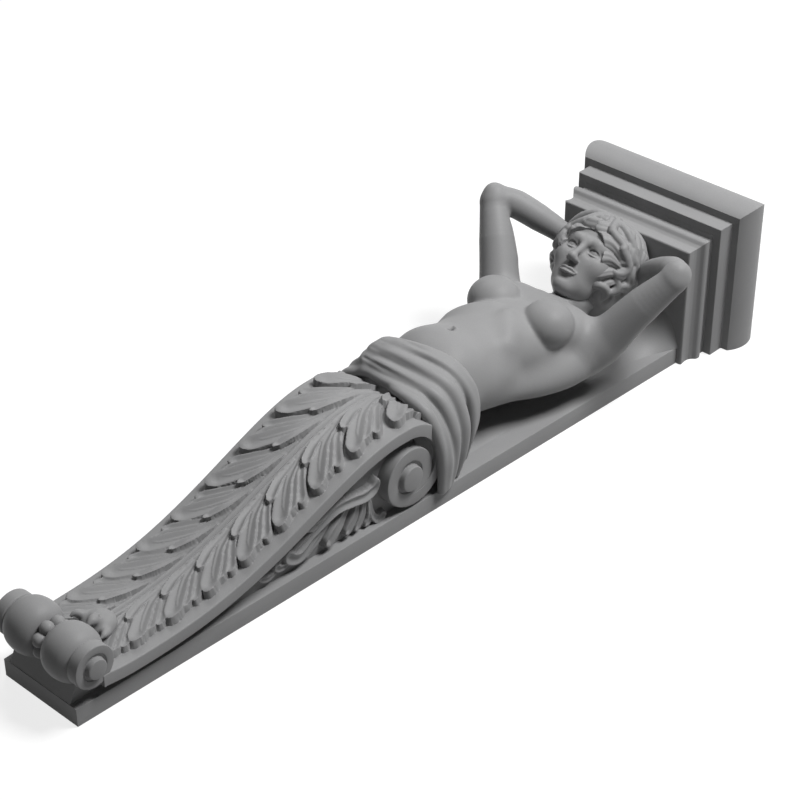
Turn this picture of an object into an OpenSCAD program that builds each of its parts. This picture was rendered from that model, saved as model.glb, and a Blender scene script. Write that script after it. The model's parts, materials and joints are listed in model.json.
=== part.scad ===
// Caryatid corbel, carved from one block of stone.
// It stands upright: +Z is up, the wall face lies in the plane Y = 0 and the
// front looks towards -Y. The origin is the middle of the wall face.
// Inside the modules heights are counted from the foot of the block.

/* [Block] */
// Height from the foot to the bearing face on top
height = 1208; // [1150:1:1500]
// Thickness of the back plate
plate_t = 26; // [18:1:40]
// Width of the back plate at the foot
plate_foot_w = 130; // [100:1:170]
// Width of the back plate under the capital
plate_head_w = 207; // [180:1:240]

/* [Capital] */
// Height of the capital from its soffit to the bearing face
cap_h = 134; // [100:1:170]
// Width of the capital at its soffit
cap_w = 219; // [200:1:280]
// Depth of the capital at its soffit
cap_d = 181; // [150:1:230]
// Height of the square-edged slab above the small ogee
slab_h = 26; // [16:1:40]
// Overhang of the slab beyond the soffit
slab_out = 16; // [12:1:30]
// Extra overhang at the front only
front_out = 6; // [0:1:20]
// Height from the soffit to the underside of the slab
ogee_h = 50; // [40:1:60]
// Radius of the ovolo that carries the bearing face
ovolo_r = 47; // [36:1:60]
// Height of the ovolo's centre above the slab
ovolo_up = 30; // [24:1:40]
// Overhang of the ovolo at its fullest
ovolo_out = 37; // [30:1:60]

/* [Console] */
// Height of the centre of the upper volute
volute_z = 534; // [480:1:580]
// Distance of both upper volutes' centre from the wall
volute_y = 76; // [60:1:90]
// Radius of the upper volute's disc
volute_r = 41; // [30:1:50]
// Width of the console at the foot
console_foot_w = 148; // [134:1:170]
// Width of the console at the upper volute
console_head_w = 172; // [150:1:190]
// Depth of the console where it is slimmest
waist_d = 55; // [46:1:70]
// Depth of the console at its fullest
belly_d = 151; // [130:1:170]
// Thickness of the scrolled band
band_t = 17; // [12:1:24]
// How far the band stands out beyond the side panels
band_lip = 19; // [8:1:26]

/* [Bolster] */
// Distance of the bolster's axis from the wall
bolster_y = 78; // [70:1:90]
// Height of the bolster's axis
bolster_z = 26; // [22:1:40]
// Radius of the drums at the ends
drum_r = 28; // [24:1:34]
// Length of each drum
drum_l = 17; // [10:1:24]
// Radius of the two fat rolls
roll_r = 35; // [32:1:38]
// Radius of a pearl
pearl_r = 10; // [7:0.5:11]

/* [Leaves] */
// Leaves on each side of the midrib
leaf_n = 8; // [5:1:10]
// Height of the leaves above the band
leaf_h = 8; // [4:0.5:12]
// Plain margin outside the leaves
leaf_margin = 11; // [6:1:18]
// Half width of the midrib
rib_r = 7; // [4:0.5:10]

/* [Figure] */
// Height of the navel above the foot
navel_z = 705; // [690:1:720]
// Half width of the waist
waist_w = 60; // [50:1:70]
// Half width of the chest
chest_w = 82; // [72:1:92]
// Distance of each elbow from the middle
elbow_x = 163; // [140:1:175]
// Height of the elbows above the foot
elbow_z = 975; // [950:1:1000]
// Radius of the upper arm
arm_r = 24; // [18:1:28]
// Half height of the head
head_r = 57; // [46:1:58]
// Height of the centre of the head above the foot
head_z = 1005; // [998:1:1016]
// Distance of the head's centre from the wall
head_y = 147; // [130:1:150]
// How far the head is bowed, in degrees
head_bow = 32; // [20:1:38]

/* [Hidden] */
stone = "#949494";
eps = 0.01;
cap_z = height - cap_h; // the soffit
console_top = volute_z + 50;
bury = 6; // how deep laid-on carving is rooted
line_n = 24; // steps along the face of the band
lip_foot = 44; // where the face of the band starts
slim_z = 90; // height of the slimmest section
cove_r = 70; // sweep from the plate up to the soffit
cove_flat = 0.55; // its depth as a share of its height
eye_out = 6; // how far the scroll eyes stand out
eye_share = 0.43; // eye of a scroll as a share of its disc
pearl_step = 46;
tip_z = 84;
tip_out = 26;
tip_rise = 26;
tip_w = 9;
trunk_z0 = 600;
trunk_z1 = 975;
cloth_z0 = 556;
cloth_z1 = 668;
elbow_d = 214; // distance of the elbows from the wall
shoulder = [74, -92, 900];
hand = [34, -96, 1040];
head_ref = 52; // half height at which the head is drawn before scaling

// ---- small helpers -------------------------------------------------------

function lerp(a, b, t) = a + (b - a) * t;
function clamp01(t) = min(1, max(0, t));
function ease(t) = let (c = clamp01(t)) c * c * (3 - 2 * c);
function bump(t, mid, half) = let (d = (t - mid) / half) exp(-d * d);
function unit(v) = v / norm(v);
function flat(lists) = [for (l = lists) for (v = l) v];

// Value of a smooth curve through [position, value] pairs
function along(table, s, k = 0) =
    k >= len(table) - 2 || s <= table[k + 1][0]
    ? let (a = table[k], b = table[k + 1]) lerp(a[1], b[1], ease((s - a[0]) / (b[0] - a[0])))
    : along(table, s, k + 1);

// Closed skin over a stack of rings that all have the same number of points
module skin(rings) {
    n = len(rings[0]);
    m = len(rings);
    sides = [for (i = [0 : m - 2]) for (j = [0 : n - 1]) for (k = [0, 1])
        let (a = i * n + j, b = i * n + (j + 1) % n)
        k == 0 ? [a, b, b + n] : [a, b + n, a + n]];
    foot_ring = [[for (j = [n - 1 : -1 : 0]) j]];
    head_ring = [[for (j = [0 : n - 1]) (m - 1) * n + j]];
    polyhedron(flat(rings), concat(foot_ring, sides, head_ring), convexity = 8);
}

// Round tube along a path, with a radius for each point
module limb(path, radii, sides = 14) {
    m = len(path);
    function dir(i) = unit(path[min(i + 1, m - 1)] - path[max(i - 1, 0)]);
    skin([for (i = [0 : m - 1])
        let (d = dir(i), u = unit(cross(d, [0, -0.3, 1])), v = cross(d, u))
        [for (j = [0 : sides - 1]) let (a = -360 * j / sides)
            path[i] + radii[i] * (u * cos(a) + v * sin(a))]]);
}

// Points of a limb bent smoothly over three joints
function bend(a, b, c, n) = [for (i = [0 : n]) let (t = i / n)
    pow(1 - t, 2) * a + 2 * t * (1 - t) * b + t * t * c];

// Egg with three half axes, turned by rot
module egg(at, half, rot = [0, 0, 0], n = 16) {
    translate(at) rotate(rot)
        skin([for (i = [0 : n / 2]) let (b = lerp(-88, 88, i / (n / 2)))
            [for (j = [0 : n - 1]) let (a = -360 * j / n)
                [half[0] * cos(b) * cos(a), half[1] * cos(b) * sin(a), half[2] * sin(b)]]]);
}

// Slab of a side view, pushed through the block from side to side
module across(points, half) {
    rotate([90, 0, 90]) translate([0, 0, -half]) linear_extrude(2 * half) polygon(points);
}

// Wedge of a front view, with its sides drawn in towards the foot
module tapered(foot_half, head_half, z0, z1, depth) {
    rotate([90, 0, 0]) linear_extrude(depth)
        polygon([[-foot_half, z0], [foot_half, z0], [head_half, z1], [-head_half, z1]]);
}

// ---- outline of the console ---------------------------------------------

function console_half(z) = lerp(console_foot_w, console_head_w, z / volute_z) / 2;

// Distance of the band's face from the wall at height z
function face_d(z) =
    let (t = pow(clamp01((z - slim_z) / (volute_z - 4 - slim_z)), 1.35), low = clamp01((slim_z - z) / 47))
    waist_d + (belly_d - waist_d) * ease(t) + 4 * low * low;

// Outer and inner radius of the scroll round the upper volute; a = 180 is the front
function scroll_out(a) = lerp(volute_r + 1, belly_d - volute_y, ease((a + 20) / 200));
function scroll_in(a) = max(volute_r - 3, scroll_out(a) - band_t);
function scroll_pt(r, a) = [-volute_y + r * cos(a), volute_z + r * sin(a)];

face_line = [for (i = [0 : line_n]) let (z = lerp(lip_foot, volute_z - 6, i / line_n)) [-face_d(z), z]];
back_line = [for (i = [line_n : -1 : 0]) let (z = lerp(lip_foot - 4, volute_z - 6, i / line_n),
    slope = (face_d(z + 1) - face_d(z - 1)) / 2)
    [-face_d(z) + band_t * cos(atan(slope)), z - band_t * sin(atan(slope))]];
scroll_outer = [for (a = [180 : -12 : -12]) scroll_pt(scroll_out(a), a)];
scroll_inner = [for (a = [-12 : 12 : 180]) scroll_pt(scroll_in(a), a)];

// ---- masonry: plate, capital, console ------------------------------------

module plate() {
    color(stone) tapered(plate_foot_w / 2, plate_head_w / 2, 0, cap_z + eps, plate_t);
}

// Outline of the capital over an overhang p and height z, from the soffit up
function cap_line(more) =
    let (arc_mid = ovolo_out - ovolo_r, top = cap_h - ogee_h - slab_h,
         a0 = -asin(min(0.95, ovolo_up / ovolo_r)), a1 = asin(min(0.95, (top - ovolo_up) / ovolo_r)))
    concat(
        [[0, 0], [2, 2], [0.5, 12]],
        [for (i = [0 : 6]) let (t = i / 6) [lerp(1, 9, ease(t)), lerp(17, 28, t)]],
        [[9.5, 32], [9.5, 36], [7, 40], [7, ogee_h]],
        [[slab_out + more, ogee_h], [slab_out + more, ogee_h + slab_h]],
        [for (i = [0 : 12]) let (a = lerp(a0, a1, i / 12))
            [more + arc_mid + ovolo_r * cos(a), ogee_h + slab_h + ovolo_up + ovolo_r * sin(a)]],
        [[more, cap_h]]);

module capital() {
    side = [for (q = cap_line(0)) [cap_w / 2 + q[0], cap_z + q[1]]];
    front = [for (q = cap_line(front_out)) [-cap_d - q[0], cap_z + q[1]]];
    mirrored = [for (i = [len(side) - 1 : -1 : 0]) [-side[i][0], side[i][1]]];
    color(stone) intersection() {
        across(concat([[0, cap_z]], front, [[0, height]]), cap_w);
        rotate([90, 0, 0]) linear_extrude(2 * cap_d) polygon(concat(side, mirrored));
    }
}

// Hollow sweep from the plate's field up to the soffit
module cove() {
    line = concat([[-plate_t + bury, cap_z - cove_r]],
        [for (a = [0 : 10 : 90])
            [-plate_t - cove_r * (1 - cos(a)) * cove_flat, cap_z - cove_r + cove_r * sin(a)]],
        [[-plate_t + bury, cap_z + bury]]);
    color(stone) intersection() {
        across(line, plate_head_w);
        tapered(plate_foot_w / 2, plate_head_w / 2, 0, cap_z + bury, cap_d);
    }
}

// Scrolled band down the front of the console
module band() {
    color(stone) intersection() {
        across(concat(face_line, scroll_outer, scroll_inner, back_line), console_head_w);
        tapered(console_foot_w / 2, console_half(height), 0, height, cap_d);
    }
}

// Body of the console, whose sides are the sunk panels
module core() {
    color(stone) intersection() {
        across(concat([[-plate_t + bury, 0], [-plate_t, 0], [-bolster_y, drum_r * 0.72]],
            [for (q = face_line) [q[0] + 2, q[1]]],
            [for (a = [180 : -12 : 0]) scroll_pt(scroll_out(a) - 3, a)],
            [[-plate_t + bury, volute_z]]), console_head_w);
        tapered(console_foot_w / 2 - band_lip, console_half(height) - band_lip, 0, height, cap_d);
    }
}

// Discs and eyes of the upper scrolls
module volutes() {
    half = console_half(volute_z);
    color(stone) translate([0, -volute_y, volute_z]) rotate([0, 90, 0]) {
        translate([0, 0, -half]) cylinder(r = volute_r, h = 2 * half, $fn = 96);
        translate([0, 0, -half - eye_out])
            cylinder(r = volute_r * eye_share, h = 2 * (half + eye_out), $fn = 64);
    }
}

// Bolster at the foot: two drums, two fat rolls and a string of pearls
module bolster() {
    half = console_foot_w / 2;
    neck_r = roll_r / 2;
    roll_in = 9;
    roll_out = half - drum_l;
    swell = roll_r - lerp(neck_r, drum_r - 1, 0.58);
    roll = [for (i = [0 : 12]) let (t = i / 12)
        [lerp(neck_r, drum_r - 1, t) + swell * pow(sin(180 * pow(t, 1.2)), 0.75),
         lerp(roll_in, roll_out, t)]];
    half_line = concat([[0, 0], [neck_r, 0]], roll, [[drum_r, roll_out + 2], [drum_r, half], [0, half]]);
    color(stone) translate([0, -bolster_y, bolster_z]) {
        for (side = [0, 180]) rotate([0, 90, side])
            rotate_extrude($fn = 96) polygon(half_line);
        rotate([0, 90, 0]) translate([0, 0, -half - eye_out])
            cylinder(r = drum_r * eye_share, h = 2 * (half + eye_out), $fn = 64);
        for (a = [104 : pearl_step : 250])
            translate([0, (neck_r + 2) * cos(a), (neck_r + 2) * sin(a)]) sphere(r = pearl_r, $fn = 32);
    }
}

// One acanthus leaf as a slab: base at the origin, tip towards +Y
module leaf(length, width, thick, lobes = 3) {
    steps = 4 * lobes;
    edge = [for (i = [0 : steps]) let (t = i / steps,
        body = width / 2 * pow(sin(180 * min(0.96, 0.12 + 0.84 * t)), 0.7),
        lobe = 0.74 + 0.26 * abs(sin(180 * lobes * t)))
        [body * lobe, length * t]];
    linear_extrude(thick) polygon(concat(edge, [[0, length + 5]],
        [for (i = [steps : -1 : 0]) [-edge[i][0], edge[i][1]]]));
}

// Leaves down both sides of the midrib, each laid on the face of the band
module front_leaves() {
    z0 = 104;
    z1 = volute_z + 20;
    color(stone) for (side = [1, -1]) for (i = [0 : leaf_n - 1]) {
        z = lerp(z0, z1, i / (leaf_n - 1));
        tilt = atan((face_d(z + 10) - face_d(z - 40)) / 50);
        reach = console_half(z) - leaf_margin;
        translate([0, -face_d(z - 15) + bury, z]) rotate([90 + tilt, 0, 0])
            rotate([0, 0, -side * 130]) leaf(reach * 1.22, reach * 0.72, leaf_h + bury);
    }
}

// Spray of leaves in the sunk panel on each side
module side_spray() {
    thick = band_lip * 0.8;
    color(stone) for (side = [1, -1]) for (k = [0 : 4]) {
        z = lerp(300, 470, k / 4);
        x = console_half(z) - band_lip - bury;
        translate([side > 0 ? x : -x - thick, 0, 0]) multmatrix([[0, 0, 1, 0], [1, 0, 0, 0], [0, 1, 0, 0]])
            translate([lerp(-46, -84, k / 4), z]) rotate(lerp(150, 172, k / 4))
                leaf(lerp(34, 50, k / 4), 24, thick, 2);
    }
}

// Stem that runs up the middle of the console
module midrib() {
    out = leaf_h + 1;
    stem = [for (i = [0 : 20]) let (z = lerp(96, console_top - 6, i / 20)) [-face_d(z) - out, z]];
    root = [for (q = stem) [q[0] + out + bury, q[1]]];
    color(stone) across(concat(stem, [for (i = [20 : -1 : 0]) root[i]]), rib_r);
}

// Leaf tips that curl out above the bolster, one in the middle and one at each side
module tip_curl() {
    color(stone) for (side = [-1, 0, 1]) translate([side * console_foot_w * 0.2, 0, 0])
        across([for (i = [0 : 8]) let (a = lerp(-70, 80, i / 8))
            [-waist_d + bury - tip_out * cos(a), tip_z + tip_rise * sin(a)]], tip_w);
}

module masonry() {
    plate();
    capital();
    cove();
    band();
    core();
    volutes();
    bolster();
    front_leaves();
    midrib();
    tip_curl();
    side_spray();
}

// ---- carving -------------------------------------------------------------

// Half width, front and back of the trunk at a height
trunk_half = [[trunk_z0, 84], [640, 80], [690, waist_w + 5], [725, waist_w], [790, chest_w - 10],
    [850, chest_w], [900, chest_w + 4], [930, 62], [958, 30], [trunk_z1, 26]];
trunk_front = [[trunk_z0, 150], [640, 172], [680, 178], [navel_z, 174], [770, 172], [820, 165],
    [870, 150], [915, 126], [950, 112], [trunk_z1, 110]];
trunk_back = [[trunk_z0, 20], [660, 40], [705, 52], [770, 44], [850, 24], [930, 40], [trunk_z1, 58]];

module trunk() {
    skin([for (i = [0 : 16]) let (z = lerp(trunk_z0, trunk_z1, i / 16),
        w = along(trunk_half, z), f = along(trunk_front, z), b = along(trunk_back, z))
        [for (j = [0 : 27]) let (a = -360 * j / 28, s = sin(a), c = cos(a))
            [w * sign(c) * pow(abs(c), 0.86),
             -(f + b) / 2 + (f - b) / 2 * sign(s) * pow(abs(s), 0.8),
             z]]]);
}

module breasts() {
    for (side = [1, -1])
        egg([side * 42, -158, 846], [36, 30, 33], [12, 0, side * 14], 16);
}

// Cloth wound round the hips: a full skirt crossed by rolled folds
module drapery() {
    skin([for (i = [0 : 17]) let (t = i / 17, z = lerp(cloth_z0, cloth_z1, t))
        [for (j = [0 : 35]) let (a = -360 * j / 36, s = sin(a), c = cos(a),
            drop = 34 * ease((1 - s) / 2) * (1 - t) - 14 * c * (1 - t),
            fold = 4.5 * pow(abs(cos(180 * (t * 5 + 0.25 * c))), 1.5),
            w = lerp(84, 70, ease(t)) + fold, f = lerp(158, 184, ease(t * 1.4)) + fold, b = 14)
            [w * sign(c) * pow(abs(c), 0.8), -(f + b) / 2 + (f - b) / 2 * sign(s) * pow(abs(s), 0.75),
             z - drop]]]);
}

// End of the cloth that falls behind the upper volute
module cloth_tail() {
    for (side = [1, -1]) for (k = [0 : 2])
        limb(bend([side * (74 + 3 * k), -120, 612 + 8 * k], [side * (86 + 2 * k), -80, 596 + 10 * k],
            [side * (78 + 2 * k), -plate_t + 2, 588 + 12 * k], 6), [11, 11, 10, 10, 9, 9, 8], 8);
}

module arms() {
    elbow = [elbow_x, -elbow_d, elbow_z];
    for (side = [1, -1]) scale([side, 1, 1]) {
        upper = bend([52, -80, 880], (shoulder + elbow) / 2 + [2, 4, -6], elbow, 7);
        lower = bend(elbow + [2, 4, -6], (elbow + hand) / 2 + [0, -4, 8], hand, 7);
        limb(upper, [for (i = [0 : 7]) lerp(arm_r + 6, arm_r - 6, ease(i / 7))], 14);
        egg(elbow, [18, 18, 18], [0, 0, 0], 12);
        limb(lower, [for (i = [0 : 7]) let (t = i / 7) lerp(18, 12, t) + 3 * bump(t, 0.28, 0.25)], 14);
        egg(hand, [26, 12, 15], [0, -20, 20], 12);
    }
}

// Place of the head, bowed forward on the neck
module on_neck() {
    translate([0, -head_y, head_z]) rotate([head_bow, 0, 0]) scale(head_r / head_ref) children();
}

module neck() {
    limb([[0, -84, 930], [0, -100, 960], [0, -122, 988]], [26, 25, 27], 16);
}

// Plain classical face on an egg-shaped skull
module head() {
    egg([0, 0, 6], head_ref * [0.76, 0.84, 0.9], [0, 0, 0], 20);
    egg([0, -12, -16], head_ref * [0.6, 0.68, 0.76], [0, 0, 0], 16);
    hull() {
        translate([0, -46, 8]) sphere(r = 3, $fn = 8);
        translate([0, -54, -9]) sphere(r = 5, $fn = 8);
        for (x = [-6, 6]) translate([x, -47, -11]) sphere(r = 4, $fn = 8);
    }
    hull() for (x = [-9, 9]) translate([x, -44, -24]) sphere(r = 4, $fn = 8);
    hull() for (x = [-6, 6]) translate([x, -36, -41]) sphere(r = 8, $fn = 8);
    for (x = [-17, 17]) hull() for (k = [-7, 7]) translate([x + k, -38, 5]) sphere(r = 4, $fn = 8);
}

// Waved hair, parted in the middle and falling behind the neck
module hair() {
    lock_r = head_ref * 0.16;
    skin([for (i = [0 : 11]) let (b = lerp(-80, 88, i / 11))
        [for (j = [0 : 23]) let (a = -360 * j / 24,
            open = ease((sin(-a) - 0.35) / 0.5) * ease((60 - b) / 30),
            wave = 3 * sin(3 * b + 40 * sin(a)) + 2 * sin(5 * a), r = 1 - 0.3 * open)
            [(head_ref * 0.94 + wave) * cos(b) * cos(a) * r,
             7 + (head_ref * 0.96 + wave) * cos(b) * sin(a) * r,
             6 + (head_ref * 0.98 + wave) * sin(b)]]]);
    for (side = [1, -1]) for (k = [0 : 4]) let (a = lerp(20, 150, k / 4)) hull() {
        translate([side * 0.8 * head_ref * sin(a), -30 + 10 * k, 6 + 0.8 * head_ref * cos(a)])
            sphere(r = lock_r, $fn = 8);
        translate([side * (0.86 * head_ref * sin(a) + 4), -18 + 12 * k, 0.8 * head_ref * cos(a) - 10])
            sphere(r = lock_r * 0.85, $fn = 8);
    }
}

module carving() {
    color(stone) {
        trunk();
        breasts();
        drapery();
        cloth_tail();
        arms();
        neck();
        on_neck() {
            head();
            hair();
        }
    }
}

module corbel_masonry() { translate([0, 0, -height / 2]) masonry(); }
module corbel_carving() { translate([0, 0, -height / 2]) carving(); }

corbel_masonry();  // corbel
corbel_carving();  // corbel
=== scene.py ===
# Caryatid corbel: fine carving, stone finish, light and camera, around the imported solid.
import json
import math
import bpy
import numpy as np
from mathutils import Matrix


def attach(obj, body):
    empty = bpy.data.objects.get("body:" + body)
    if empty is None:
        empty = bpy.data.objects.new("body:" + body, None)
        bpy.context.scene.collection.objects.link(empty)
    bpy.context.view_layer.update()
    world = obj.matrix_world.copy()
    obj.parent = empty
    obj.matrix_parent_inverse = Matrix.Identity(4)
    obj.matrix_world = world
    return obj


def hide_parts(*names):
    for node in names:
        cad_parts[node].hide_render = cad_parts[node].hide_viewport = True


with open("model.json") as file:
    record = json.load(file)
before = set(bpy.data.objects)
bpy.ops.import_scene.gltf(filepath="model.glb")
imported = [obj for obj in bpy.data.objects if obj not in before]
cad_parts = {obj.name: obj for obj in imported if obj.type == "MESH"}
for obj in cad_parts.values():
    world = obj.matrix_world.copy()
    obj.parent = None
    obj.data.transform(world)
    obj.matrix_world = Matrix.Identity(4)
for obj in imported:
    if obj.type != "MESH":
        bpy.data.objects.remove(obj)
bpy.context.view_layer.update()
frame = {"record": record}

import openvdb as vdb
from mathutils import Matrix, Vector

# Shapes are worked out in millimetres: x to the right seen from the front, y into the wall,
# z up from the foot of the block. The frame is in metres with its origin half way up.
bearingZ = max(mount["pos_m"][2] for mount in frame["record"]["mounts"])
unit = 0.001
foot = -bearingZ
topZ = 2 * bearingZ / unit


def lerp(a, b, t):
    return a + (b - a) * t


def clamp01(t):
    return np.clip(t, 0.0, 1.0)


def ease(t):
    t = clamp01(t)
    return t * t * (3 - 2 * t)


def spline(points, count):
    p = np.asarray(points, float)
    p = np.vstack([2 * p[0] - p[1], p, 2 * p[-1] - p[-2]])
    spans = len(p) - 3
    t = np.linspace(0, spans, count)
    i = np.minimum(t.astype(int), spans - 1)
    f = (t - i)[:, None]
    a, b, c, d = p[i], p[i + 1], p[i + 2], p[i + 3]
    return 0.5 * (2 * b + (c - a) * f + (2 * a - 5 * b + 4 * c - d) * f ** 2
                  + (3 * b - a - 3 * c + d) * f ** 3)


def evenly(curve, step):
    # the same curve with points a step apart
    run = np.r_[0, np.cumsum(np.linalg.norm(np.diff(curve, axis=0), axis=1))]
    at = np.linspace(0, run[-1], max(3, int(run[-1] / step) + 1))
    return np.stack([np.interp(at, run, curve[:, k]) for k in range(curve.shape[1])], 1), at


def addPiece(name, points, faces, smooth=True, sharpAngle=None):
    pts = np.asarray(points, float) * unit
    pts[:, 2] += foot
    mesh = bpy.data.meshes.new(name)
    mesh.from_pydata(pts.tolist(), [], faces if isinstance(faces, list) else faces.tolist())
    mesh.update()
    piece = bpy.data.objects.new(name, mesh)
    bpy.context.scene.collection.objects.link(piece)
    mesh.polygons.foreach_set("use_smooth", [smooth] * len(mesh.polygons))
    if sharpAngle:
        mesh.set_sharp_from_angle(angle=math.radians(sharpAngle))
    mesh.materials.append(stone)
    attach(piece, "root")
    print(name, len(mesh.polygons), "faces")
    return piece


def ringFaces(rings, count, closed=True):
    # quads between rings of equal length, stacked one after another
    rows = np.arange(rings - 1)[:, None]
    cols = np.arange(count if closed else count - 1)[None, :]
    a = rows * count + cols
    b = rows * count + (cols + 1) % count
    return np.stack([a, b, b + count, a + count], -1).reshape(-1, 4)


def joined(parts):
    points, faces, base = [], [], 0
    for p, f in parts:
        points.append(np.asarray(p, float))
        faces += [[i + base for i in face] for face in (f.tolist() if hasattr(f, "tolist") else f)]
        base += len(p)
    return np.vstack(points), faces


def lathe(profile, turns=96):
    # profile: (radius, x) pairs; the axis is x
    prof = np.asarray(profile, float)
    a = np.linspace(0, 2 * math.pi, turns, endpoint=False)
    pts = np.stack([
        np.repeat(prof[:, 1][:, None], turns, 1),
        prof[:, 0][:, None] * np.cos(a)[None, :],
        prof[:, 0][:, None] * np.sin(a)[None, :]], -1).reshape(-1, 3)
    return pts, ringFaces(len(prof), turns)


def rounded(corners, radius, steps=4):
    # an open outline with its inner corners rounded
    out = [corners[0]]
    for before, here, after in zip(corners, corners[1:], corners[2:]):
        before, here, after = map(np.asarray, (before, here, after))
        u = (before - here) / np.linalg.norm(before - here)
        v = (after - here) / np.linalg.norm(after - here)
        r = min(radius, 0.45 * np.linalg.norm(before - here), 0.45 * np.linalg.norm(after - here))
        for t in np.linspace(0, 1, steps):
            out.append((here + u * r * (1 - t) ** 2 + v * r * t ** 2).tolist())
    out.append(corners[-1])
    return [tuple(map(float, p)) for p in out]


stoneLook = {
    "colour": (0.285, 0.285, 0.288),
    "cloudScale": 9.0,
    "cloudShade": (0.93, 1.05),      # darkest and palest clouding
    "grainScale": 900.0,
    "grainShade": (0.96, 1.04),
    "grainDepth": 0.00006,
    "grainBump": 0.35,
    "roughness": (0.46, 0.56),
    "polish": 0.2,
}


def addNoise(nodes, links, place, scale, detail):
    noise = nodes.new("ShaderNodeTexNoise")
    noise.inputs["Scale"].default_value = scale
    noise.inputs["Detail"].default_value = detail
    links.new(place.outputs["Object"], noise.inputs["Vector"])
    return noise


def makeStone():
    look = stoneLook
    mat = bpy.data.materials.new("carvedStone")
    mat.use_nodes = True
    nodes, links = mat.node_tree.nodes, mat.node_tree.links
    shader = nodes["Principled BSDF"]
    shader.inputs["Specular IOR Level"].default_value = look["polish"]
    place = nodes.new("ShaderNodeTexCoord")
    cloud = addNoise(nodes, links, place, look["cloudScale"], 4.0)
    grain = addNoise(nodes, links, place, look["grainScale"], 3.0)
    tone = nodes.new("ShaderNodeValToRGB")
    for element, position, shade in zip(tone.color_ramp.elements, (0.3, 0.7), look["cloudShade"]):
        element.position = position
        element.color = [c * shade for c in look["colour"]] + [1]
    links.new(cloud.outputs["Fac"], tone.inputs["Fac"])
    speck = nodes.new("ShaderNodeMapRange")
    speck.inputs["From Min"].default_value = 0.3
    speck.inputs["From Max"].default_value = 0.7
    speck.inputs["To Min"].default_value = look["grainShade"][0]
    speck.inputs["To Max"].default_value = look["grainShade"][1]
    links.new(grain.outputs["Fac"], speck.inputs["Value"])
    mixed = nodes.new("ShaderNodeMix")
    mixed.data_type = "RGBA"
    mixed.blend_type = "MULTIPLY"
    mixed.inputs["Factor"].default_value = 1.0
    links.new(tone.outputs["Color"], mixed.inputs["A"])
    links.new(speck.outputs["Result"], mixed.inputs["B"])
    links.new(mixed.outputs["Result"], shader.inputs["Base Color"])
    worn = nodes.new("ShaderNodeMapRange")
    worn.inputs["To Min"].default_value = look["roughness"][0]
    worn.inputs["To Max"].default_value = look["roughness"][1]
    links.new(cloud.outputs["Fac"], worn.inputs["Value"])
    links.new(worn.outputs["Result"], shader.inputs["Roughness"])
    bump = nodes.new("ShaderNodeBump")
    bump.inputs["Strength"].default_value = look["grainBump"]
    bump.inputs["Distance"].default_value = look["grainDepth"]
    links.new(grain.outputs["Fac"], bump.inputs["Height"])
    links.new(bump.outputs["Normal"], shader.inputs["Normal"])
    print("stone ready")
    return mat


stone = makeStone()

# Back plate, raised field and capital. Widths are half widths.
block = {
    "plateThick": 25.8,
    "plateFoot": 65.2,
    "plateHead": 103.3,
    "plateEdge": 1.2,
    "soffitZ": 1074.0,
    "capHalf": 109.4,
    "capDepth": 181.2,
    "slabOut": 6.4,         # how much further the slab stands out in front
    "slabFrom": 49.0,       # its height above the soffit
}


def plateHalf(z):
    return lerp(block["plateFoot"], block["plateHead"], z / block["soffitZ"])


def makePlate():
    # a tapering slab with lightly eased front edges
    edge = block["plateEdge"]
    eased = edge * 0.3
    t = block["plateThick"]
    rings = []
    for z in np.linspace(0, block["soffitZ"] + 1, 60):
        w = plateHalf(z)
        left = [(-w, 0, z), (-w, -t + edge, z), (-w + eased, -t + eased, z), (-w + edge, -t, z)]
        rings.append(left + [(-x, y, z) for x, y, z in reversed(left)])
    pts = np.array(rings).reshape(-1, 3)
    faces = ringFaces(len(rings), 8).tolist()
    last = (len(rings) - 1) * 8
    faces += [list(range(7, -1, -1)), [last + k for k in range(8)]]
    return addPiece("back_plate", pts, faces, sharpAngle=40)


fieldLook = {
    "footZ": 560.0,
    "lowZ": (650.0, 859.0),
    "lowHalf": (59.9, 63.9),     # half widths at those heights
    "flareZ": 880.0,
    "flareIn": 66.0,
    "crown": 9.0,
    "coveZ": 985.0,
    "coveHigh": 89.5,
    "coveOut": 62.0,
}


def fieldEdge(z):
    # half width of the raised field behind the figure
    look = fieldLook
    lowFrom, lowTo = look["lowZ"]
    low = lerp(*look["lowHalf"], (z - lowFrom) / (lowTo - lowFrom))
    flare = np.clip((z - look["flareZ"]) / (block["soffitZ"] - look["flareZ"]), 0, 1) ** 2.2
    return low + (block["plateHead"] - look["flareIn"]) * flare


def makeField():
    # the raised field sweeps up into the soffit as a cove
    look = fieldLook
    fineFrom = 980
    zs = np.r_[np.arange(look["footZ"], fineFrom, 8.0), np.arange(fineFrom, block["soffitZ"] + 0.1, 2.0)]
    across = np.linspace(-1, 1, 81)
    rows = []
    for z in zs:
        crown = look["crown"] * (1 - np.abs(across) ** 2.0) + 0.05
        turn = max(0, (z - look["coveZ"]) / look["coveHigh"])
        cove = look["coveOut"] * (1 - math.sqrt(max(0, 1 - turn ** 2)))
        lift = crown + cove * (1 - np.abs(across) ** 6)
        y = -block["plateThick"] - lift
        rows.append(np.stack([across * fieldEdge(z), y, np.full_like(across, z)], 1))
    pts = np.vstack(rows)
    return addPiece("upper_field", pts, ringFaces(len(rows), len(across), closed=False)[:, ::-1])


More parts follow.
